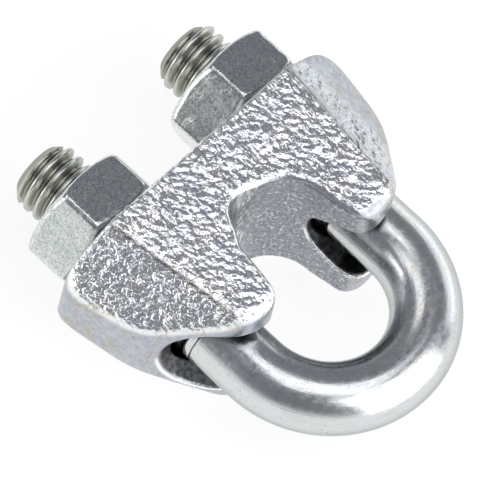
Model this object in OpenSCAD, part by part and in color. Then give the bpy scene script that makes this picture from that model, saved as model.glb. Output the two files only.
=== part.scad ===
// Wire rope clip: a cast saddle, a U-bolt and two hexagon nuts.
// Frame: Z is the axis of the rope seat and points up, because the clip lies flat on a side face.
// Y runs along the legs of the U-bolt, from the bow towards the nuts. X runs from leg to leg.

/* [Rope] */
// Diameter of the rope that the seat is made for
rope_d = 8; // [7.5:0.1:8.2]

/* [U-bolt] */
// Outer diameter of the rolled thread
thread_d = 5.9; // [5.8:0.05:6]
// Pitch of the thread
thread_pitch = 1; // [0.8:0.1:1.25]
// Diameter of the plain bar of the bow
bar_d = 5.7; // [5.2:0.1:5.8]
// Distance between the axes of the two legs
leg_gap = 15.7; // [15.5:0.1:16.5]
// From the rope axis to the centre of the bow
bow_drop = 5; // [4.5:0.1:7]
// From the rope axis to the end of the left leg
left_leg_end = 18.3; // [18:0.1:22]
// From the rope axis to the end of the right leg
right_leg_end = 18; // [17.8:0.1:22]
// Length of the thread on each leg
thread_len = 18.5; // [12:0.5:19]

/* [Nuts] */
// Width of a nut across its flats
nut_af = 9.8; // [9.5:0.1:10]
// Height of a nut
nut_h = 4.75; // [4.5:0.05:5.2]
// How far the left nut is turned from having a flat face up
left_nut_turn = 4; // [0:1:60]
// How far the right nut is turned from having a flat face up
right_nut_turn = 11; // [0:1:60]

/* [Saddle] */
// Thickness of the saddle, along the rope
saddle_t = 12.6; // [12.2:0.1:13]
// Overall length of the saddle, from end to end
saddle_len = 30; // [29.5:0.1:31]
// Height of the nut seat above the rope axis
seat_rise = 9.7; // [9.2:0.1:10.5]
// How far the prongs reach below the rope axis
prong_drop = 4.2; // [4:0.1:4.6]
// Length of the side face along the nut seat
face_len_top = 19.7; // [19:0.1:21]
// Length of the side face along the prong tips
face_len_low = 16.4; // [16:0.1:17]
// Half thickness of the end band where it meets the nut seat
end_band_half = 3.4; // [3:0.1:3.7]
// Width of the slot between a pair of prongs, where it meets the rope groove
slot_w = 6.2; // [6:0.05:6.4]
// Angle at which each wall of a slot spreads on its way out
slot_flare = 11; // [8:0.5:11.5]
// Height of the slot's closed end above the rope axis
slot_rise = 0.9; // [0.6:0.1:1.4]
// Diameter of the holes that the legs pass through
leg_hole_d = 6.6; // [6.5:0.1:6.8]

/* [Hidden] */
$fn = 96;
eps = 0.01;
half_t = saddle_t / 2;
half_len = saddle_len / 2;
end_lean = 1;
leg_x = leg_gap / 2;
leg_hole_low = 2;
groove_r = rope_d / 2 + 0.05;
groove_lip = 0.4;
flank_spread = 0.9;
thread_depth = 0.55;
thread_crest = 0.16;
leg_tip = 0.7;
nut_bore_d = thread_d + 0.1;
nut_corner_d = nut_af / cos(30);
nut_face_d = nut_af * 0.95;
nut_chamfer_h = (nut_corner_d - nut_face_d) / 2 * tan(30);
zinc = [0.78, 0.80, 0.82];
cast_zinc = [0.66, 0.68, 0.71];
nut_zinc = [0.70, 0.73, 0.76];

// The saddle's outline across the rope at its positive X end, from the nut seat to the prong tip.
// The end swells just below the seat, leans inwards, and then slopes in to the prong tip.
function end_outline() = [
    [half_len - end_lean, seat_rise],
    [half_len - 0.3, seat_rise - 0.5],
    [half_len, seat_rise - 1.6],
    [half_len - 1.2, slot_rise + 1.6],
    [half_len - 2, slot_rise + 0.2],
    [half_len - 5.7, 1 - prong_drop],
    [half_len - 6.6, -prong_drop]
];

// The same points on the negative X side, in the opposite order.
function other_end(points) = [
    for (i = [len(points) - 1 : -1 : 0])
        [-points[i][0], points[i][1]]
];

// A solid bar of the saddle's outline, before its corners are cut.
module saddle_blank() {
    linear_extrude(saddle_t, center = true)
        polygon(concat(end_outline(), other_end(end_outline())));
}

// Cuts away the corner between one side face and one end, leaving the sloping flank.
// The ridge runs along the side face, and the flank falls from it to the end band.
module flank_cutter() {
    ridge_lean = atan((face_len_top - face_len_low) / 2 / (seat_rise + prong_drop));
    flank_fall = atan((half_t - end_band_half) / (half_len - end_lean - face_len_top / 2));
    reach = 40;
    translate([face_len_top / 2, seat_rise, half_t])
        rotate([0, 0, -ridge_lean])
            rotate([0, flank_fall, 0])
                translate([-reach / 4, -reach / 2, 0])
                    cube([reach, reach, reach]);
}

// The rope groove: a straight round seat that opens towards the bow and has a lip at each side face.
module rope_groove() {
    low = prong_drop + 1;
    cylinder(r = groove_r, h = saddle_t + 1, center = true);
    linear_extrude(saddle_t + 1, center = true)
        polygon([
            [-groove_r, 0],
            [groove_r, 0],
            [groove_r + flank_spread, -low],
            [-groove_r - flank_spread, -low]
        ]);
    for (side = [0, 1])
        mirror([0, 0, side])
            translate([0, 0, half_t - groove_lip])
                cylinder(r1 = groove_r, r2 = groove_r + groove_lip + 0.1, h = groove_lip + 0.1);
}

// The slot that splits one end of the saddle into two prongs.
// It spreads outwards, and its closed end is round and level. It starts inside the rope groove.
module prong_slot() {
    lead = 1;
    reach = saddle_len;
    inner_r = slot_w / 2 - lead * tan(slot_flare);
    outer_r = inner_r + reach * tan(slot_flare);
    translate([groove_r - lead, slot_rise, 0])
        rotate([0, 0, -slot_flare])
            translate([0, -inner_r, 0]) {
                rotate([0, 90, 0])
                    cylinder(r1 = inner_r, r2 = outer_r, h = reach);
                rotate([90, 0, 0])
                    linear_extrude(reach)
                        polygon([
                            [0, -inner_r],
                            [reach, -outer_r],
                            [reach, outer_r],
                            [0, inner_r]
                        ]);
            }
}

module saddle() {
    color(cast_zinc)
        difference() {
            saddle_blank();
            rope_groove();
            for (side = [0, 1])
                mirror([side, 0, 0]) {
                    prong_slot();
                    translate([leg_x, -leg_hole_low, 0])
                        rotate([-90, 0, 0])
                            cylinder(d = leg_hole_d, h = leg_hole_low + seat_rise + 1);
                    for (back = [0, 1])
                        mirror([0, 0, back]) flank_cutter();
                }
        }
}

// Outline of a threaded leg, turned about its own axis: radius against height below the leg's end.
// The rolled thread is shown as rings, which keep the thread's true outer and core diameters.
function thread_rings(count) = [
    for (i = [0 : count - 1])
        let (top = -leg_tip - i * thread_pitch)
            each [
                [thread_d / 2, top],
                [thread_d / 2, top - thread_crest],
                [thread_d / 2 - thread_depth, top - thread_pitch / 2 - thread_crest / 2],
                [thread_d / 2, top - thread_pitch]
            ]
];

// One threaded leg, from its chamfered end down to the start of the plain bar.
module threaded_leg(leg_end) {
    count = floor((thread_len - leg_tip) / thread_pitch);
    run_out = leg_tip + count * thread_pitch;
    translate([0, leg_end, 0])
        rotate([-90, 0, 0])
            rotate_extrude()
                polygon(concat(
                    [[0, 0], [thread_d / 2 - thread_depth, 0]],
                    thread_rings(count),
                    [[bar_d / 2, -run_out - 0.3], [0, -run_out - 0.3]]
                ));
}

// One plain leg, from the thread's run-out down to the bow.
module plain_leg(leg_end) {
    count = floor((thread_len - leg_tip) / thread_pitch);
    top = leg_end - leg_tip - count * thread_pitch - 0.3;
    translate([0, -bow_drop - eps, 0])
        rotate([-90, 0, 0])
            cylinder(d = bar_d, h = top + bow_drop + 2 * eps);
}

module u_bolt() {
    color(zinc) {
        translate([0, -bow_drop, 0])
            rotate_extrude(angle = -180)
                translate([leg_x, 0])
                    circle(d = bar_d);
        for (leg = [[-1, left_leg_end], [1, right_leg_end]])
            translate([leg[0] * leg_x, 0, 0]) {
                threaded_leg(leg[1]);
                plain_leg(leg[1]);
            }
    }
}

// A hexagon nut with both ends chamfered, standing on the seat with its axis along Y.
// At a turn of 0 one of its flats faces up.
module hex_nut(turn) {
    rotate([-90, 0, 0])
        difference() {
            intersection() {
                rotate(turn)
                    cylinder(d = nut_corner_d, h = nut_h, $fn = 6);
                union() {
                    cylinder(d1 = nut_face_d, d2 = nut_corner_d, h = nut_chamfer_h);
                    translate([0, 0, nut_chamfer_h - eps])
                        cylinder(d = nut_corner_d, h = nut_h - 2 * nut_chamfer_h + 2 * eps);
                    translate([0, 0, nut_h - nut_chamfer_h])
                        cylinder(d1 = nut_corner_d, d2 = nut_face_d, h = nut_chamfer_h);
                }
            }
            translate([0, 0, -1])
                cylinder(d = nut_bore_d, h = nut_h + 2);
            for (end = [0, 1])
                translate([0, 0, end * nut_h])
                    mirror([0, 0, end])
                        translate([0, 0, -eps])
                            cylinder(d1 = nut_bore_d + 0.7, d2 = nut_bore_d, h = 0.35);
        }
}

module nut_left() {
    color(nut_zinc)
        translate([-leg_x, seat_rise, 0])
            hex_nut(left_nut_turn);
}

module nut_right() {
    color(nut_zinc)
        translate([leg_x, seat_rise, 0])
            hex_nut(right_nut_turn);
}

saddle();
u_bolt();
nut_left();
nut_right();
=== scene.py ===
"""Looks of a wire rope clip: cast saddle, U-bolt with rolled threads, and two hexagon nuts.

Shapes are worked out in millimetres in the frame of the CAD model and turned into metres at the end.
The saddle and the nuts are solids given by a distance field, whose edges are blended with a radius.
"""
import math

import bpy
import numpy as np
from mathutils import Matrix, Vector


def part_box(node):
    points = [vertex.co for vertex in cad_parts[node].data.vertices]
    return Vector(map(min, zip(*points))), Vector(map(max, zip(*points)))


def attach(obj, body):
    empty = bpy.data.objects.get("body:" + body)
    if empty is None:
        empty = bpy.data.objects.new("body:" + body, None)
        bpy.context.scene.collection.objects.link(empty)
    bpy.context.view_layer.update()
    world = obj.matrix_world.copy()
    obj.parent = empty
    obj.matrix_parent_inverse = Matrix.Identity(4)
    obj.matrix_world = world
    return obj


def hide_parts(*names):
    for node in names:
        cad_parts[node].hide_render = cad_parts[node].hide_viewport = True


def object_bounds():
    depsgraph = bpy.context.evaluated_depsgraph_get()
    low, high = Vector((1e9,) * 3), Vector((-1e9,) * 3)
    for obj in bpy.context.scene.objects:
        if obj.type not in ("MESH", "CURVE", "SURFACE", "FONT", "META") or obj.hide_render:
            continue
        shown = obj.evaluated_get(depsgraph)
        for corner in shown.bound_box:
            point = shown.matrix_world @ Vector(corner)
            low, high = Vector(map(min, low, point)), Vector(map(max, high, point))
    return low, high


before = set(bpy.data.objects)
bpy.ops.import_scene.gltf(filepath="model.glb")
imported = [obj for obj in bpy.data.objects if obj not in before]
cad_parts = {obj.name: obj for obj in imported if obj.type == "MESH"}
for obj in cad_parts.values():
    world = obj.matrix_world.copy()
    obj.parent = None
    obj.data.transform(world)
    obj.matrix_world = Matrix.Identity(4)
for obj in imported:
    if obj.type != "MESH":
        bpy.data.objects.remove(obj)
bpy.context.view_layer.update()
MM = 0.001


# ---------------------------------------------------------------- sizes, in millimetres
def box_mm(node):
    """Lowest and highest corner of a CAD node, in millimetres."""
    lo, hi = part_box(node)
    return np.array(lo) / MM, np.array(hi) / MM


SADDLE_LO, SADDLE_HI = box_mm("saddle")
BOLT_LO, BOLT_HI = box_mm("u_bolt")
HALF_LEN = SADDLE_HI[0]
HALF_T = SADDLE_HI[2]
SEAT = SADDLE_HI[1]
PRONG_DROP = -SADDLE_LO[1]

# The U-bolt. A leg is -1 for the left one and 1 for the right one.
BAR_R = 2.85
THREAD_R = 2.95
THREAD_DEPTH = 0.55
THREAD_CORE_R = THREAD_R - THREAD_DEPTH
PITCH = 1.0
NECK_R = 2.62
LEG_X = BOLT_HI[0] - THREAD_R
BOW_Y = BOLT_LO[1] + LEG_X + BAR_R
LEG_END = {-1: BOLT_HI[1], 1: BOLT_HI[1] - 0.3}
SHOULDER_Y = {-1: -0.1, 1: -0.5}
FOLD_DEPTH = 0.12
FOLD_WIDTH = 0.09
FOLD_BELOW_SHOULDER = 0.75
RINGS_PER_PITCH = 14
PLAIN_RING_STEP = 0.25
BOW_RINGS = 120
POINTS_PER_RING = 80

# The saddle. The groove's side walls spread by GROOVE_SPREAD for each millimetre down.
END_LEAN = 1.0
FACE_HALF_TOP = 9.85
FACE_HALF_LOW = 8.2
END_BAND_HALF = 3.4
GROOVE_R = 4.05
GROOVE_SPREAD = 0.17
GROOVE_SAG = 0.6
REAR_SAG = 0.38
FRONT_PRONG_CUT = 0.3
SLOT_HALF = 3.1
SLOT_FLARE = math.tan(math.radians(11))
SLOT_RISE = 0.9
LEG_HOLE_R = 3.3
LEG_HOLE_LOW = 2.0
SLOT_WEDGE_HALF = 1.5
SLOT_WEDGE_RISE = 0.45
SLOT_WEDGE_FLARE = 0.5
SLOT_WEDGE_SCALE = 0.83
NICK_CENTRE = (-0.9, 2.6)
NICK_R = 2.0
NICK_SHRINK = 0.8
NICK_REACH = 2.6
EDGE_WIDTH = {
    "flank": 0.25,
    "groove": 0.5,
    "outline": 0.6,
    "end": 0.9,
    "tip": 1.7,
    "seat": 0.45,
    "slot": 0.35,
}
SADDLE_GRID = 0.14

# The nuts
NUT_AF = 9.8
NUT_H = 4.75
NUT_FACE_R = NUT_AF * 0.475
CHAMFER_SIN, CHAMFER_COS = 0.5, 0.866
NUT_TURN = {-1: 4.0, 1: 11.0}
BORE_GAP = 0.08
NUT_GRID = 0.11

# Tints, as linear red, green, blue and alpha
BRIGHT_ZINC = (0.88, 0.90, 0.94, 1), (0.93, 0.93, 0.92, 1)
SATIN_ZINC = (0.43, 0.45, 0.50, 1), (0.53, 0.55, 0.58, 1)
# Painted shade inside the slots, together with poor plating: the dark and light ends of a mottled tint
SLOT_SHADE_AND_PLATING = (0.07, 0.07, 0.075, 1), (0.15, 0.155, 0.16, 1)
# Groove walls: a dark mottled tint that is partly painted shade inside the rope groove
GROOVE_SHADE_AND_MOTTLE = (0.12, 0.13, 0.16, 1), (0.25, 0.26, 0.28, 1)
GROOVE_STREAK = (0.42, 0.45, 0.46, 1)
VEIN = (0.50, 0.43, 0.30, 1)
PIT = (0.12, 0.12, 0.13, 1)
CREASE = (0.25, 0.23, 0.20, 1)
FLECK = (0.97, 0.98, 0.99, 1)
# Painted highlight: a near-white tint on the slot rims that stands in for the bright reflection on their
# rounded edges
PAINTED_RIM_HIGHLIGHT = (0.95, 0.95, 0.96, 1)
BAR_ZINC = (0.69, 0.71, 0.74, 1), (0.70, 0.71, 0.69, 1)
# Painted reflection: a darker greenish tint at the bar's outline as seen, standing in for a dimmer reflection
# there
PAINTED_LIMB_REFLECTION = (0.48, 0.53, 0.51, 1)
BAR_LINE = (0.40, 0.40, 0.40, 1)
BAR_SPECK = (0.28, 0.27, 0.29, 1)
# Thread tint from root to crest: the darker roots are painted shade in the thread grooves, over a warm thread
# colour
THREAD_ROOT_SHADE_TO_CREST = (0.36, 0.35, 0.31, 1), (0.60, 0.61, 0.57, 1)
BAR_SPECULAR = (0.75, 0.78, 0.77, 1)
NUT_ZINC = (0.71, 0.745, 0.735, 1), (0.83, 0.86, 0.82, 1)
NUT_SPECKLE = (0.42, 0.43, 0.46, 1)
NUT_SPECK = (0.30, 0.27, 0.22, 1)
WHITE = (1, 1, 1, 1)


# ---------------------------------------------------------------- fields and noise
def soft_max(a, b, k):
    """The larger of two fields, with the edge between them rounded over a width of about k."""
    h = np.maximum(k - np.abs(a - b), 0.0) / k
    return np.maximum(a, b) + h * h * k / 4


def smooth_step(a, b, x):
    """0 at a and beyond, 1 at b and beyond, and an S-shaped rise between them."""
    t = np.clip((x - a) / (b - a), 0.0, 1.0)
    return t * t * (3 - 2 * t)


def hashed(ix, iy, iz, seed):
    """A well-mixed 32-bit number for each lattice point."""
    h = (ix * 73856093) ^ (iy * 19349663) ^ (iz * 83492791) ^ (seed * 668265263)
    h = (h & 0xFFFFFFFF).astype(np.uint64)
    h = ((h ^ (h >> np.uint64(15))) * np.uint64(2246822519)) & np.uint64(0xFFFFFFFF)
    h = ((h ^ (h >> np.uint64(13))) * np.uint64(3266489917)) & np.uint64(0xFFFFFFFF)
    return h ^ (h >> np.uint64(16))


def noise(p, seed):
    """Gradient noise of about -1 to 1 with features one unit across."""
    cell = np.floor(p).astype(np.int64)
    f = p - cell
    w = f * f * f * (f * (f * 6 - 15) + 10)
    total = np.zeros(len(p))
    for corner in range(8):
        d = np.array([corner & 1, (corner >> 1) & 1, corner >> 2])
        h = hashed(*(cell + d).T, seed)
        g = np.stack([(h >> np.uint64(s)) & np.uint64(255) for s in (0, 8, 16)], 1) / 127.5 - 1.0
        weight = np.prod(np.where(d, w, 1 - w), axis=1)
        total += weight * np.sum(g * (f - d), axis=1)
    return total * 1.4


def surface_of(field, lo, hi, step):
    """Points and quads of the surface where a field is zero, by surface nets on a regular grid."""
    counts = [int(math.ceil((b - a) / step)) + 1 for a, b in zip(lo, hi)]
    axes = [a + step * np.arange(n) for a, n in zip(lo, counts)]
    grid = np.stack(np.meshgrid(*axes, indexing="ij"), axis=-1)
    value = field(grid.reshape(-1, 3)).reshape(counts)
    inside = value < 0
    corners = [(i, j, k) for i in (0, 1) for j in (0, 1) for k in (0, 1)]
    last = [n - 1 for n in counts]

    def at(array, c):
        return array[c[0]: c[0] + last[0], c[1]: c[1] + last[1], c[2]: c[2] + last[2]]

    filled = sum(at(inside, c).astype(np.int8) for c in corners)
    cells = np.nonzero((filled > 0) & (filled < 8))
    total = np.zeros((len(cells[0]), 3))
    hits = np.zeros(len(cells[0]))
    for c0 in corners:
        for axis in range(3):
            if c0[axis]:
                continue
            c1 = tuple(1 if a == axis else c0[a] for a in range(3))
            v0, v1 = at(value, c0)[cells], at(value, c1)[cells]
            cross = (v0 < 0) != (v1 < 0)
            t = np.where(cross, v0 / np.where(cross, v0 - v1, 1.0), 0.0)
            point = np.array(c0, float) + t[:, None] * (np.array(c1) - np.array(c0))
            total += point * cross[:, None]
            hits += cross
    points = np.array(lo) + step * (np.stack(cells, 1) + total / hits[:, None])
    index = np.full(last, -1, np.int64)
    index[cells] = np.arange(len(points))
    quads = []
    for axis in range(3):
        u, v = [(1, 2), (2, 0), (0, 1)][axis]
        here = [slice(1, -1)] * 3
        here[axis] = slice(0, -1)
        there = list(here)
        there[axis] = slice(1, None)
        a, b = inside[tuple(here)], inside[tuple(there)]
        where = np.array(np.nonzero(a != b))
        base = where + 1
        base[axis] -= 1
        ring = []
        for du, dv in ((-1, -1), (0, -1), (0, 0), (-1, 0)):
            cell = base.copy()
            cell[u] += du
            cell[v] += dv
            ring.append(index[tuple(cell)])
        ring = np.stack(ring, 1)
        outward = a[tuple(where)]
        quads.append(np.where(outward[:, None], ring, ring[:, ::-1]))
    return points, np.concatenate(quads).tolist()


def slope_of(field, p, reach=0.02):
    """The unit direction in which a field grows, and how fast it grows."""
    g = np.empty_like(p)
    for axis in range(3):
        d = np.zeros(3)
        d[axis] = reach
        g[:, axis] = (field(p + d) - field(p - d)) / (2 * reach)
    size = np.maximum(np.linalg.norm(g, axis=1), 1e-6)
    return g / size[:, None], size


def settle(field, p, rounds=3):
    """Moves points onto the surface where the field is zero."""
    for _ in range(rounds):
        n, size = slope_of(field, p)
        p = p - n * np.clip(field(p) / size, -0.08, 0.08)[:, None]
    return p, slope_of(field, p)[0]


def piece(name, points, faces, body, material, values=None):
    """A smooth-shaded mesh piece that stands for the CAD node of the same body."""
    mesh = bpy.data.meshes.new(name)
    mesh.from_pydata((points * MM).tolist(), [], faces)
    mesh.polygons.foreach_set("use_smooth", np.ones(len(mesh.polygons), bool))
    for key, data in (values or {}).items():
        mesh.attributes.new(key, "FLOAT", "POINT").data.foreach_set("value", data.astype(np.float32))
    mesh.materials.append(material)
    mesh.update()
    obj = bpy.data.objects.new(name, mesh)
    bpy.context.collection.objects.link(obj)
    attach(obj, body)
    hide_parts(body)
    return obj


# ---------------------------------------------------------------- materials
class Nodes:
    """A short way to build a node tree."""

    def __init__(self, name):
        self.material = bpy.data.materials.new(name)
        self.material.use_nodes = True
        self.tree = self.material.node_tree
        self.shader = self.tree.nodes["Principled BSDF"]
        self.place = self.add("ShaderNodeTexCoord").outputs["Object"]

    def add(self, kind, inputs=None, **settings):
        made = self.tree.nodes.new(kind)
        for key, value in settings.items():
            setattr(made, key, value)
        for key, value in (inputs or {}).items():
            self.feed(made.inputs[key], value)
        return made

    def feed(self, socket, value):
        if isinstance(value, bpy.types.NodeSocket):
            self.tree.links.new(value, socket)
        else:
            socket.default_value = value

    def noise(self, size, detail=2.0, rough=0.5, stretch=(1, 1, 1), turn=(0, 0, 0)):
        """Noise with features about size millimetres across, longer along an axis where stretch is over 1."""
        scale = tuple(1 / (size * MM * s) for s in stretch)
        place = self.add("ShaderNodeMapping", {"Vector": self.place, "Rotation": turn})
        place = self.add("ShaderNodeMapping", {"Vector": place.outputs[0], "Scale": scale})
        made = self.add("ShaderNodeTexNoise", {"Vector": place.outputs[0], "Scale": 1.0, "Detail": detail,
                                               "Roughness": rough})
        return made.outputs["Fac"]

    def level(self, value, low, high, to_low=0.0, to_high=1.0):
        """Maps a value from low..high to another range, smoothly."""
        made = self.add("ShaderNodeMapRange", {"Value": value, "From Min": low, "From Max": high,
                                               "To Min": to_low, "To Max": to_high},
                        interpolation_type="SMOOTHSTEP")
        return made.outputs["Result"]

    def blend(self, share, a, b):
        """A colour that goes from a to b as share goes from 0 to 1."""
        made = self.add("ShaderNodeMix", data_type="RGBA")
        self.feed(made.inputs["Factor"], share)
        self.feed(made.inputs["A"], a)
        self.feed(made.inputs["B"], b)
        return made.outputs["Result"]

    def calc(self, operation, a, b=0.0):
        made = self.add("ShaderNodeMath", operation=operation)
        self.feed(made.inputs[0], a)
        self.feed(made.inputs[1], b)
        return made.outputs[0]

    def times(self, a, b):
        return self.calc("MULTIPLY", a, b)

    def ridges(self, *args):
        """Noise that is folded at its middle value, which makes it low along winding lines."""
        return self.calc("ABSOLUTE", self.calc("SUBTRACT", self.noise(*args), 0.5))

    def attribute(self, name):
        return self.add("ShaderNodeAttribute", attribute_name=name).outputs["Fac"]

    def bump(self, height, depth, below=None):
        """Bump of a height of 0..1 that stands for depth millimetres."""
        inputs = {"Height": height, "Strength": 1.0, "Distance": depth * MM}
        if below is not None:
            inputs["Normal"] = below
        return self.add("ShaderNodeBump", inputs).outputs["Normal"]


def cast_zinc():
    """Bright zinc over a rough casting. Where the piece's cast value is low the zinc is smoother.

    The dull value gives satin zinc, wall a darker groove with mottling that is partly painted shade, and the
    slots get painted shade (with poor plating) inside and a painted highlight on their rims.
    """
    n = Nodes("zinc_on_casting")
    cast, dull, wall, flat = (n.attribute(name) for name in ("cast", "dull", "wall", "flat"))
    streaky = n.attribute("streaky")
    bright = n.blend(n.level(n.noise(2.2, 3.0), 0.4, 0.62), *BRIGHT_ZINC)
    satin = n.blend(n.level(n.noise(0.5, 4.0, 0.7), 0.4, 0.6), *SATIN_ZINC)
    tint = n.blend(dull, bright, satin)

    smooth = n.level(cast, 0.1, 0.8, 1.0, 0.0)
    veins = n.level(n.ridges(1.4, 5.0, 0.65), 0.0, 0.05, 1.0, 0.0)
    veins = n.times(veins, n.level(n.noise(2.5, 1.0), 0.45, 0.6))
    veined = n.times(smooth, n.level(wall, 0.0, 1.0, 0.8, 0.1))
    tint = n.blend(n.times(veins, veined), tint, VEIN)
    pits = n.times(n.level(n.noise(0.15, 2.0, 0.5), 0.62, 0.70), n.level(n.noise(1.5, 2.0), 0.4, 0.6))
    pitted = n.calc("MAXIMUM", n.level(smooth, 0.0, 1.0, 0.2, 0.75), n.times(dull, 1.2))
    tint = n.blend(n.times(pits, pitted), tint, PIT)
    tint = n.blend(n.times(n.attribute("crease"), 0.75), tint, CREASE)

    # painted shade inside the slots, together with poor plating
    shade = n.blend(n.level(n.noise(0.4, 3.0), 0.4, 0.6), *SLOT_SHADE_AND_PLATING)
    tint = n.blend(n.attribute("slot_shade_and_plating"), tint, shade)
    # the groove walls are darkened: partly painted shade inside the groove, partly mottled zinc
    groove_shade_and_mottle = n.blend(n.level(n.noise(0.25, 3.0), 0.4, 0.6), *GROOVE_SHADE_AND_MOTTLE)
    groove_shade_and_mottle = n.blend(n.times(streaky, 0.3), groove_shade_and_mottle, GROOVE_STREAK)
    tint = n.blend(n.times(wall, 0.65), tint, groove_shade_and_mottle)

    streaks = n.noise(0.32, 1.0, 0.5, (1, 1, 3), (0.35, 0, 0))
    dots = n.level(n.noise(0.26, 1.0, 0.5), 0.58, 0.66)
    dotted = n.times(wall, n.level(streaky, 0.0, 1.0, 0.5, 1.0))
    flecks = n.calc("ADD", n.times(n.level(streaks, 0.53, 0.6), streaky), n.times(dots, dotted))
    flecks = n.times(flecks, n.level(n.noise(1.0, 1.0), 0.3, 0.55, 0.3, 1.0))
    tint = n.blend(flecks, tint, FLECK)
    # painted highlight along the slot rims
    tint = n.blend(n.attribute("lip"), tint, PAINTED_RIM_HIGHLIGHT)
    n.feed(n.shader.inputs["Base Color"], tint)
    n.shader.inputs["Metallic"].default_value = 1.0

    grain = n.noise(0.12, 3.0, 0.6)
    rough = n.calc("ADD", n.level(dull, 0.0, 1.0, 0.18, 0.34), n.level(grain, 0.3, 0.7, -0.04, 0.06))
    n.feed(n.shader.inputs["Roughness"], rough)

    lobes = n.times(n.ridges(0.5, 1.0, 0.5), n.times(cast, flat))
    specks = n.times(n.ridges(0.3, 1.0, 0.5), n.times(cast, n.level(flat, 0.0, 1.0, 1.0, 0.45)))
    skin = n.times(n.noise(0.22, 2.0, 0.5), n.level(cast, 0.0, 1.0, 1.0, 0.6))
    drawn = n.times(streaks, wall)
    normal = None
    for height, depth in ((lobes, 0.14), (specks, 0.1), (skin, 0.02), (drawn, 0.04), (grain, 0.003)):
        normal = n.bump(height, depth, normal)
    n.feed(n.shader.inputs["Normal"], normal)
    return n.material


def bar_zinc():
    """Smooth zinc on drawn bar, with faint lines along the bar, small dark specks, and a painted greenish
    reflection that darkens the bar towards its outline as seen.
    """
    n = Nodes("zinc_on_bar")
    flow = n.add("ShaderNodeCombineXYZ", {"X": n.attribute("along"), "Y": n.attribute("cosine"),
                                          "Z": n.attribute("sine")})
    stretched = n.add("ShaderNodeMapping", {"Vector": flow.outputs[0], "Scale": (0.6, 24.0, 24.0)})
    lines = n.add("ShaderNodeTexNoise", {"Vector": stretched.outputs[0], "Scale": 1.0, "Detail": 2.0})
    lines = lines.outputs["Fac"]
    tint = n.blend(n.level(n.noise(3.0, 3.0), 0.35, 0.65), *BAR_ZINC)
    # painted reflection: the bar turns darker and greener where its surface turns away from the view
    edge = n.add("ShaderNodeLayerWeight", {"Blend": 0.5}).outputs["Facing"]
    tint = n.blend(n.level(edge, 0.45, 0.85, 0.0, 0.8), tint, PAINTED_LIMB_REFLECTION)
    tint = n.blend(n.level(lines, 0.56, 0.7, 0.0, 0.3), tint, BAR_LINE)
    specks = n.times(n.level(n.noise(0.2, 3.0, 0.6), 0.58, 0.68), n.level(n.noise(2.0, 2.0), 0.42, 0.58))
    tint = n.blend(n.times(specks, 0.6), tint, BAR_SPECK)
    # threads: darker roots are painted shade, lighter crests and neck
    tint = n.blend(n.attribute("thread"), tint, n.blend(n.attribute("crest"), *THREAD_ROOT_SHADE_TO_CREST))
    n.feed(n.shader.inputs["Base Color"], tint)
    n.shader.inputs["Specular Tint"].default_value = BAR_SPECULAR
    n.shader.inputs["Metallic"].default_value = 1.0
    haze = n.noise(0.5, 4.0, 0.6)
    n.feed(n.shader.inputs["Roughness"], n.level(haze, 0.3, 0.7, 0.17, 0.28))
    plain = n.calc("SUBTRACT", 1.0, n.attribute("thread"))
    normal = n.bump(n.times(lines, plain), 0.006)
    n.feed(n.shader.inputs["Normal"], n.bump(n.noise(0.3, 3.0, 0.6), 0.004, normal))
    return n.material


def nut_zinc():
    """Zinc on a nut, finely mottled and lightly scratched."""
    n = Nodes("zinc_on_nut")
    mottle = n.noise(0.3, 4.0, 0.7)
    tint = n.blend(n.level(mottle, 0.38, 0.62), *NUT_ZINC)
    speckle = n.level(n.noise(0.17, 3.0, 0.7), 0.45, 0.62)
    tint = n.blend(n.times(speckle, 0.75), tint, NUT_SPECKLE)
    specks = n.level(n.noise(0.2, 3.0, 0.6), 0.64, 0.70)
    tint = n.blend(n.times(specks, 0.6), tint, NUT_SPECK)
    scratches = 0.0
    for turn, width in (((0.3, 0.2, 0.9), 0.06), ((0.2, 0.5, -0.7), 0.07), ((0.1, 0.3, 0.2), 0.06)):
        line = n.noise(width, 0.0, 0.5, (40, 1, 40), turn)
        scratches = n.calc("ADD", scratches, n.level(line, 0.71, 0.76))
    scratches = n.times(scratches, n.level(n.noise(1.5, 2.0), 0.42, 0.6, 0.0, 0.6))
    tint = n.blend(n.times(scratches, 0.4), tint, WHITE)
    n.feed(n.shader.inputs["Base Color"], tint)
    n.shader.inputs["Metallic"].default_value = 1.0
    rough = n.calc("ADD", n.level(mottle, 0.3, 0.7, 0.12, 0.2), n.times(scratches, 0.2))
    n.feed(n.shader.inputs["Roughness"], rough)
    n.feed(n.shader.inputs["Normal"], n.bump(n.noise(0.16, 2.0, 0.5), 0.006, n.bump(mottle, 0.006)))
    return n.material


# ---------------------------------------------------------------- saddle
# The outline of the positive X end from the nut seat down to the prong tip. The other end mirrors it.
END_OUTLINE = [
    (HALF_LEN - END_LEAN, SEAT),
    (HALF_LEN - 0.3, SEAT - 0.5),
    (HALF_LEN, SEAT - 1.6),
    (HALF_LEN - 1.2, SLOT_RISE + 1.6),
    (HALF_LEN - 2.0, SLOT_RISE + 0.2),
    (HALF_LEN - 5.7, 1.0 - PRONG_DROP),
    (HALF_LEN - 6.6, -PRONG_DROP),
]


def crooked(p, sag):
    """Points moved up towards the rear of the underside, so that what is built from them sits lower there."""
    share = smooth_step(8.0, 3.0, p[:, 1]) * smooth_step(HALF_T, -HALF_T, p[:, 2])
    return p + share[:, None] * np.array([0, sag, 0])


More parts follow.
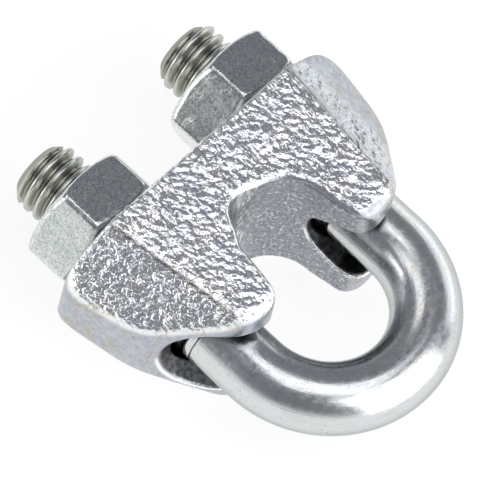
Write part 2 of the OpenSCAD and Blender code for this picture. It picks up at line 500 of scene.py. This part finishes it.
def groove_field(p):
    """Distance from the wall of the rope groove, negative inside the groove. Its front edge has a nick."""
    p = crooked(p, GROOVE_SAG)
    x, y = np.abs(p[:, 0]), p[:, 1]
    lean = math.cos(math.atan(GROOVE_SPREAD))
    wall = np.where(y > 0, np.hypot(x, y) - GROOVE_R, (x - GROOVE_R + GROOVE_SPREAD * y) * lean)
    nick = np.hypot(p[:, 0] - NICK_CENTRE[0], y - NICK_CENTRE[1]) - NICK_R
    nick = nick + NICK_SHRINK * smooth_step(HALF_T, HALF_T - NICK_REACH, p[:, 2])
    return -soft_max(-wall, -nick, 0.4)


def flank_field(p):
    """The sloping planes that cut the corners between the side faces and the ends."""
    lean = (FACE_HALF_TOP - FACE_HALF_LOW) / (SEAT + PRONG_DROP)
    fall = (HALF_T - END_BAND_HALF) / (HALF_LEN - END_LEAN - FACE_HALF_TOP)
    size = math.sqrt(1 + lean * lean + 1 / (fall * fall))
    ridge = FACE_HALF_TOP + (p[:, 1] - SEAT) * lean
    return ((np.abs(p[:, 0]) - ridge) + (np.abs(p[:, 2]) - HALF_T) / fall) / size


def slot_field(p):
    """Distance from the walls of the two flared slots and the leg holes, negative inside them."""
    x, y, z = np.abs(p[:, 0]), crooked(p, REAR_SAG)[:, 1], np.abs(p[:, 2])
    half = SLOT_HALF + SLOT_FLARE * (x - GROOVE_R)
    slot = np.hypot(np.maximum(y - SLOT_RISE + half, 0), z) - half
    wedge = z - SLOT_WEDGE_HALF + SLOT_WEDGE_RISE * (y - SLOT_RISE) - SLOT_WEDGE_FLARE * (x - GROOVE_R)
    slot = soft_max(slot, wedge * SLOT_WEDGE_SCALE, 0.4)
    hole = np.maximum(np.hypot(x - LEG_X, z) - LEG_HOLE_R, -y - LEG_HOLE_LOW)
    return np.minimum(slot, hole)


def end_field(p):
    """Distance from the outline of the ends, negative inside the saddle."""
    x, y = np.abs(p[:, 0]), p[:, 1]
    end = np.full(len(p), -1e3)
    for (x0, y0), (x1, y1) in zip(END_OUTLINE, END_OUTLINE[1:]):
        size = math.hypot(x1 - x0, y1 - y0)
        plane = ((x - x0) * (y0 - y1) + (y - y0) * (x1 - x0)) / size
        end = soft_max(end, plane, EDGE_WIDTH["outline"])
    return end


def saddle_field(p):
    """Distance from the saddle's mean surface, negative inside the metal, with every edge rounded."""
    low = crooked(p, REAR_SAG)
    y, z = low[:, 1], np.abs(p[:, 2])
    body = soft_max(z - HALF_T, flank_field(p), EDGE_WIDTH["flank"])
    body = soft_max(body, -groove_field(p), EDGE_WIDTH["groove"])
    body = soft_max(body, end_field(low), EDGE_WIDTH["end"])
    tip = PRONG_DROP - FRONT_PRONG_CUT * smooth_step(-1.0, 4.0, p[:, 2])
    body = soft_max(body, -y - tip, EDGE_WIDTH["tip"])
    body = soft_max(body, y - SEAT, EDGE_WIDTH["seat"])
    return soft_max(body, -slot_field(p), EDGE_WIDTH["slot"])


def saddle_relief(p, n):
    """Height of the cast skin over the mean surface, and the values that the material reads, from 0 to 1."""
    to_slot, to_groove = slot_field(p), groove_field(p)
    slot = smooth_step(0.15, 0.02, to_slot)
    inwards = smooth_step(0.0, -0.3, end_field(crooked(p, REAR_SAG)))
    # Slot surfaces away from the groove and inside the ends are painted dark: painted shade, together with
    # poor plating
    slot_shade_and_plating = slot * smooth_step(0.05, 0.3, to_groove) * inwards
    outside = 1 - slot
    side = smooth_step(0.5, 0.75, np.abs(n[:, 2])) * outside
    flat = smooth_step(0.9, 0.98, np.abs(n[:, 2]))
    ridge = -flank_field(p)
    above_tips = smooth_step(0.2 - PRONG_DROP, 0.9 - PRONG_DROP, p[:, 1])
    clear = smooth_step(0.1, 0.4, to_groove) * above_tips
    rim = 1 - 0.8 * flat * smooth_step(0.32, 0.15, ridge) * smooth_step(0, -2, p[:, 0])
    across_flank = np.hypot(p[:, 0] - FACE_HALF_TOP, p[:, 2] - HALF_T) + 0.35 * noise(p / 1.3, 7)
    strip = smooth_step(0.25, 0.6, across_flank) * smooth_step(3.2, 2.2, across_flank)
    smooth_flank = (1 - flat) * smooth_step(0.0, 2.0, p[:, 0]) * (1 - strip)
    cast = side * clear * rim * (1 - 0.75 * smooth_flank)
    warp = 0.3 * np.stack([noise(p / 0.8, 11), noise(p / 0.8, 12), noise(p / 0.8, 13)], 1)
    q = p + warp
    along = 0.50 * q[:, 0] - 0.86 * q[:, 1]
    across = 0.86 * q[:, 0] + 0.50 * q[:, 1]
    long = np.stack([along / 1.2, across / 0.55, q[:, 2] / 0.9], 1)
    wrinkle = np.abs(noise(long, 1)) * 0.27 + np.abs(noise(long * 1.7, 2)) * 0.2
    grain = np.abs(noise(q / 0.42, 3)) * 0.18 + np.abs(noise(q / 0.27, 4)) * 0.1
    rough = flat * (wrinkle + 0.35 * grain) + (1 - flat) * grain
    height = cast * (rough - 0.06) + 0.07 * noise(p / 3.2, 5) * side + 0.015 * noise(p / 0.8, 6) * (1 - cast)
    seat = smooth_step(0.8, 0.95, n[:, 1])
    height = height * (1 - seat) - 0.03 * seat
    edge = smooth_step(0.25, 0.5, np.abs(n[:, 2]))
    right_flank = (1 - flat) * edge * smooth_step(0.0, 2.0, p[:, 0])
    dull = np.maximum(1 - edge, right_flank * (1 - 0.4 * strip))
    # A thin band on the slot rims where z is negative, painted near-white as a painted highlight and kept out
    # of the dull zinc
    lip = smooth_step(0.04, 0.08, to_slot) * smooth_step(0.24, 0.16, to_slot)
    lip = lip * smooth_step(0.0, -1.0, p[:, 2]) * smooth_step(SEAT - 5, SEAT - 6, p[:, 1])
    dull = dull * (1 - lip)
    wall = smooth_step(0.3, 0.1, np.abs(to_groove)) * (1 - edge)
    crease = smooth_step(0.22, 0.12, HALF_T - np.abs(p[:, 2])) * smooth_step(0.11, 0.05, ridge) * outside
    streaky = wall * smooth_step(1.5, -1.5, p[:, 0])
    return height, {"cast": cast, "dull": dull, "slot_shade_and_plating": slot_shade_and_plating, "wall": wall, "flat": flat, "crease": crease,
                    "streaky": streaky, "lip": lip}


def make_saddle(material):
    margin = 0.4
    p, quads = surface_of(saddle_field, SADDLE_LO - margin, SADDLE_HI + margin, SADDLE_GRID)
    p, n = settle(saddle_field, p)
    height, values = saddle_relief(p, n)
    p = p + n * height[:, None]
    return piece("saddle_casting", p, quads, "saddle", material, values)


# ---------------------------------------------------------------- threads and U-bolt
def thread_wave(y, turn):
    """A right-hand thread along Y: 1 on its crest and 0 in its root, at height y and angle turn about Y."""
    u = (y / PITCH - turn / (2 * math.pi)) % 1.0
    return smooth_step(0.08, 0.86, np.abs(2 * u - 1))


def bolt_radius(y, turn, leg):
    """Radius of a leg at height y: chamfered tip, thread, run-out, neck and the shoulder of the plain bar.

    The left leg also has a shallow fold just below its shoulder.
    """
    shoulder = SHOULDER_Y[leg]
    fade = smooth_step(shoulder + 0.4, shoulder + 1.9, y)
    thread = NECK_R + (THREAD_CORE_R + THREAD_DEPTH * thread_wave(y, turn) - NECK_R) * fade
    tip = THREAD_CORE_R - 0.25 + (LEG_END[leg] - y) * 0.95
    bar = smooth_step(shoulder + 0.45, shoulder - 0.1, y)
    fold = 0.0
    if leg < 0:
        past_fold = y - shoulder + FOLD_BELOW_SHOULDER + 0.2 * np.sin(turn)
        fold = FOLD_DEPTH * np.exp(-(past_fold / FOLD_WIDTH) ** 2)
    return np.minimum(thread, tip) * (1 - bar) + (BAR_R - fold) * bar


def bolt_path():
    """Rings along the U-bolt: centre, outward direction, and the leg that the ring belongs to."""
    rings = []
    for leg in (-1, 1):
        straight = []
        y = LEG_END[leg]
        while y > BOW_Y + 0.1:
            straight.append(((leg * LEG_X, y), (leg, 0.0), leg))
            y -= PITCH / RINGS_PER_PITCH if y > SHOULDER_Y[leg] - 1.4 else PLAIN_RING_STEP
        rings.append(straight)
    bow = []
    for i in range(BOW_RINGS + 1):
        a = math.pi + math.pi * i / BOW_RINGS
        bow.append(((LEG_X * math.cos(a), BOW_Y + LEG_X * math.sin(a)), (math.cos(a), math.sin(a)), 0))
    return rings[0] + bow + rings[1][::-1]


def make_u_bolt(material):
    """The U-bolt as one closed tube of rings. Its material reads how far along and around it a point is."""
    around = POINTS_PER_RING
    phi = 2 * math.pi * np.arange(around) / around
    rings, thread, crest, along = [], [], [], []
    path = bolt_path()
    for i, ((x, y), (ox, oy), leg) in enumerate(path):
        step = math.dist((x, y), path[i - 1][0]) if i else 0.0
        along.append(np.full(around, step) + (along[-1] if i else 0.0))
        if leg:
            turn = phi - math.pi / 2 if leg < 0 else math.pi / 2 - phi
            radius = bolt_radius(np.full(around, y), turn, leg)
            neck = smooth_step(SHOULDER_Y[leg] + 1.2, SHOULDER_Y[leg] + 0.6, y)
        else:
            radius = np.full(around, BAR_R)
            neck = 0.0
        start = SHOULDER_Y[leg or 1]
        thread.append(np.full(around, float(leg != 0) * smooth_step(start, start + 0.5, y)))
        # the crest value is 0 in the thread roots, which the material paints darker as painted shade
        crest.append(np.maximum(smooth_step(THREAD_CORE_R, THREAD_R - 0.1, radius), neck))
        out = radius * np.cos(phi)
        rings.append(np.stack([x + out * ox, y + out * oy, radius * np.sin(phi)], 1))
    count = len(rings)
    points = np.concatenate(rings)
    i = np.repeat(np.arange(count - 1), around)
    j = np.tile(np.arange(around), count - 1)
    k = (j + 1) % around
    quads = np.stack([i * around + j, (i + 1) * around + j, (i + 1) * around + k, i * around + k], 1)
    faces = quads.tolist()
    ends = []
    for ring, first in ((0, True), (count - 1, False)):
        centre = len(points) + len(ends)
        ends.append(points[ring * around: (ring + 1) * around].mean(0))
        for a in range(around):
            tri = [ring * around + a, ring * around + (a + 1) % around, centre]
            faces.append(tri if first else tri[::-1])
    points = np.concatenate([points, np.array(ends)])
    values = {"thread": thread, "crest": crest, "along": along, "cosine": [np.cos(phi)] * count,
              "sine": [np.sin(phi)] * count}
    values = {key: np.append(np.concatenate(rows), [1, 1]) for key, rows in values.items()}
    return piece("u_bolt_bar", points, faces, "u_bolt", material, values)


# ---------------------------------------------------------------- nuts
def nut_field(side):
    """The field of one nut in place: a hexagon with both ends chamfered and a threaded bore."""
    turn = math.radians(NUT_TURN[side])
    centre = side * LEG_X

    def field(p):
        x, y, z = p[:, 0] - centre, p[:, 1] - SEAT, p[:, 2]
        radius = np.hypot(x, z)
        solid = np.full(len(p), -1e3)
        for flat in range(6):
            a = flat * math.pi / 3 + turn
            solid = soft_max(solid, x * math.sin(a) + z * math.cos(a) - NUT_AF / 2, 0.3)
        past_end = np.abs(y - NUT_H / 2) - NUT_H / 2
        solid = soft_max(solid, past_end, 0.2)
        cone = (radius - NUT_FACE_R) * CHAMFER_SIN + past_end * CHAMFER_COS
        solid = soft_max(solid, cone, 0.35)
        wave = thread_wave(p[:, 1], np.arctan2(x, z))
        bore = radius - (THREAD_R + BORE_GAP - THREAD_DEPTH * (1 - wave))
        mouth = past_end + (THREAD_R + 0.35 - radius)
        solid = soft_max(solid, mouth, 0.1)
        return soft_max(solid, -bore, 0.05)

    return field


def make_nut(side, name, material):
    """A nut with slightly uneven outer faces. Its bore stays even, so that it clears the thread."""
    field = nut_field(side)
    lo, hi = box_mm(name)
    margin = 0.3
    p, quads = surface_of(field, lo - margin, hi + margin, NUT_GRID)
    p, n = settle(field, p)
    outside = smooth_step(THREAD_R + 0.1, THREAD_R + 0.4, np.hypot(p[:, 0] - side * LEG_X, p[:, 2]))
    uneven = 0.02 * noise(p / 1.1, 21 + side) + 0.006 * noise(p / 0.4, 31 + side)
    p = p + n * (uneven * outside)[:, None]
    return piece(name + "_hexagon", p, quads, name, material)


# ---------------------------------------------------------------- camera, floor and light
VIEW_AZIMUTH = -61.11
VIEW_ELEVATION = 62.28
VIEW_ROLL = 16.52
VIEW_DISTANCE = 766.26
VIEW_TARGET = (-0.715, 3.344, 0.0)
LENS_MM = 750.0
SENSOR_MM = 36.0
FLOOR_GAP = 0.02


def direction(azimuth, elevation):
    """Unit vector with its azimuth measured from +X towards +Y, in degrees."""
    a, e = math.radians(azimuth), math.radians(elevation)
    return Vector((math.cos(a) * math.cos(e), math.sin(a) * math.cos(e), math.sin(e)))


def make_camera():
    """A long lens on the target, turned about its own axis by the roll. Azimuth 0 looks along +Y."""
    a, e = math.radians(VIEW_AZIMUTH), math.radians(VIEW_ELEVATION)
    forward = Vector((-math.sin(a) * math.cos(e), math.cos(a) * math.cos(e), -math.sin(e)))
    level = Vector((math.cos(a), math.sin(a), 0))
    right = Matrix.Rotation(math.radians(-VIEW_ROLL), 3, forward) @ level
    up = right.cross(forward)
    data = bpy.data.cameras.new("camera")
    data.lens = LENS_MM
    data.sensor_width = SENSOR_MM
    data.clip_start = 0.01
    data.clip_end = 10.0
    camera = bpy.data.objects.new("camera", data)
    bpy.context.collection.objects.link(camera)
    turn = Matrix((right, up, -forward)).transposed().to_4x4()
    place = Vector(VIEW_TARGET) * MM - forward * VIEW_DISTANCE * MM
    camera.matrix_world = Matrix.Translation(place) @ turn
    bpy.context.scene.camera = camera


def softbox(name, azimuth, elevation, width, height, radiance, colour=(1, 1, 1), distance=0.5):
    """A rectangular area light that spans width by height degrees as the object sees it."""
    data = bpy.data.lights.new(name, "AREA")
    data.shape = "RECTANGLE"
    data.size = 2 * distance * math.tan(math.radians(width / 2))
    data.size_y = 2 * distance * math.tan(math.radians(height / 2))
    data.energy = radiance * math.pi * data.size * data.size_y
    data.color = colour
    lamp = bpy.data.objects.new(name, data)
    lamp.visible_camera = False
    bpy.context.collection.objects.link(lamp)
    towards = direction(azimuth, elevation)
    lamp.location = towards * distance
    lamp.rotation_mode = "QUATERNION"
    lamp.rotation_quaternion = towards.to_track_quat("Z", "Y")


def make_studio():
    """Five boxes for the reflections, and a room that is pale at the horizon and grey overhead."""
    softbox("bow_side_box", -77, 27, 57, 77, 1.75)
    softbox("overhead_box", -40, 86, 34, 34, 1.4, (0.97, 0.98, 1.0))
    softbox("back_box", 105, 56, 46, 20, 1.15, (1.0, 0.98, 0.95))
    softbox("left_box", 141, 17, 30, 26, 2.0, (1.0, 1.0, 0.96))
    softbox("right_box", -8, 12, 46, 34, 0.85, (0.97, 1.0, 1.0))
    world = bpy.data.worlds.new("studio")
    bpy.context.scene.world = world
    world.use_nodes = True
    tree = world.node_tree
    back = tree.nodes["Background"]
    path = tree.nodes.new("ShaderNodeLightPath")
    place = tree.nodes.new("ShaderNodeTexCoord")
    split = tree.nodes.new("ShaderNodeSeparateXYZ")
    ramp = tree.nodes.new("ShaderNodeValToRGB")
    ramp.color_ramp.interpolation = "EASE"
    ramp.color_ramp.elements[0].position = 0.04
    ramp.color_ramp.elements[0].color = (0.80, 0.84, 0.82, 1)
    ramp.color_ramp.elements[1].position = 0.36
    ramp.color_ramp.elements[1].color = (0.21, 0.215, 0.24, 1)
    tree.links.new(place.outputs["Generated"], split.inputs[0])
    tree.links.new(split.outputs["Z"], ramp.inputs["Fac"])
    mix = tree.nodes.new("ShaderNodeMix")
    mix.data_type = "RGBA"
    tree.links.new(ramp.outputs["Color"], mix.inputs["A"])
    mix.inputs["B"].default_value = (0.95, 0.95, 0.95, 1)
    tree.links.new(path.outputs["Is Camera Ray"], mix.inputs["Factor"])
    tree.links.new(mix.outputs["Result"], back.inputs["Color"])


def make_floor():
    """A pale floor just under the lowest shown point, so that the saddle's relief doesn't go through it."""
    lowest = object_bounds()[0].z
    bpy.ops.mesh.primitive_plane_add(size=6, location=(0, 0, lowest - FLOOR_GAP * MM))
    floor = bpy.context.object
    floor.name = "floor"
    material = bpy.data.materials.new("pale_floor")
    material.use_nodes = True
    shader = material.node_tree.nodes["Principled BSDF"]
    shader.inputs["Base Color"].default_value = (0.2, 0.2, 0.2, 1)
    shader.inputs["Roughness"].default_value = 0.9
    shader.inputs["Specular IOR Level"].default_value = 0.0
    shader.inputs["Emission Color"].default_value = (1, 1, 1, 1)
    shader.inputs["Emission Strength"].default_value = 0.86
    floor.data.materials.append(material)


bpy.context.scene.view_settings.view_transform = "Standard"
make_camera()
make_studio()
make_saddle(cast_zinc())
make_u_bolt(bar_zinc())
NUT_MATERIAL = nut_zinc()
make_nut(-1, "nut_left", NUT_MATERIAL)
make_nut(1, "nut_right", NUT_MATERIAL)
make_floor()
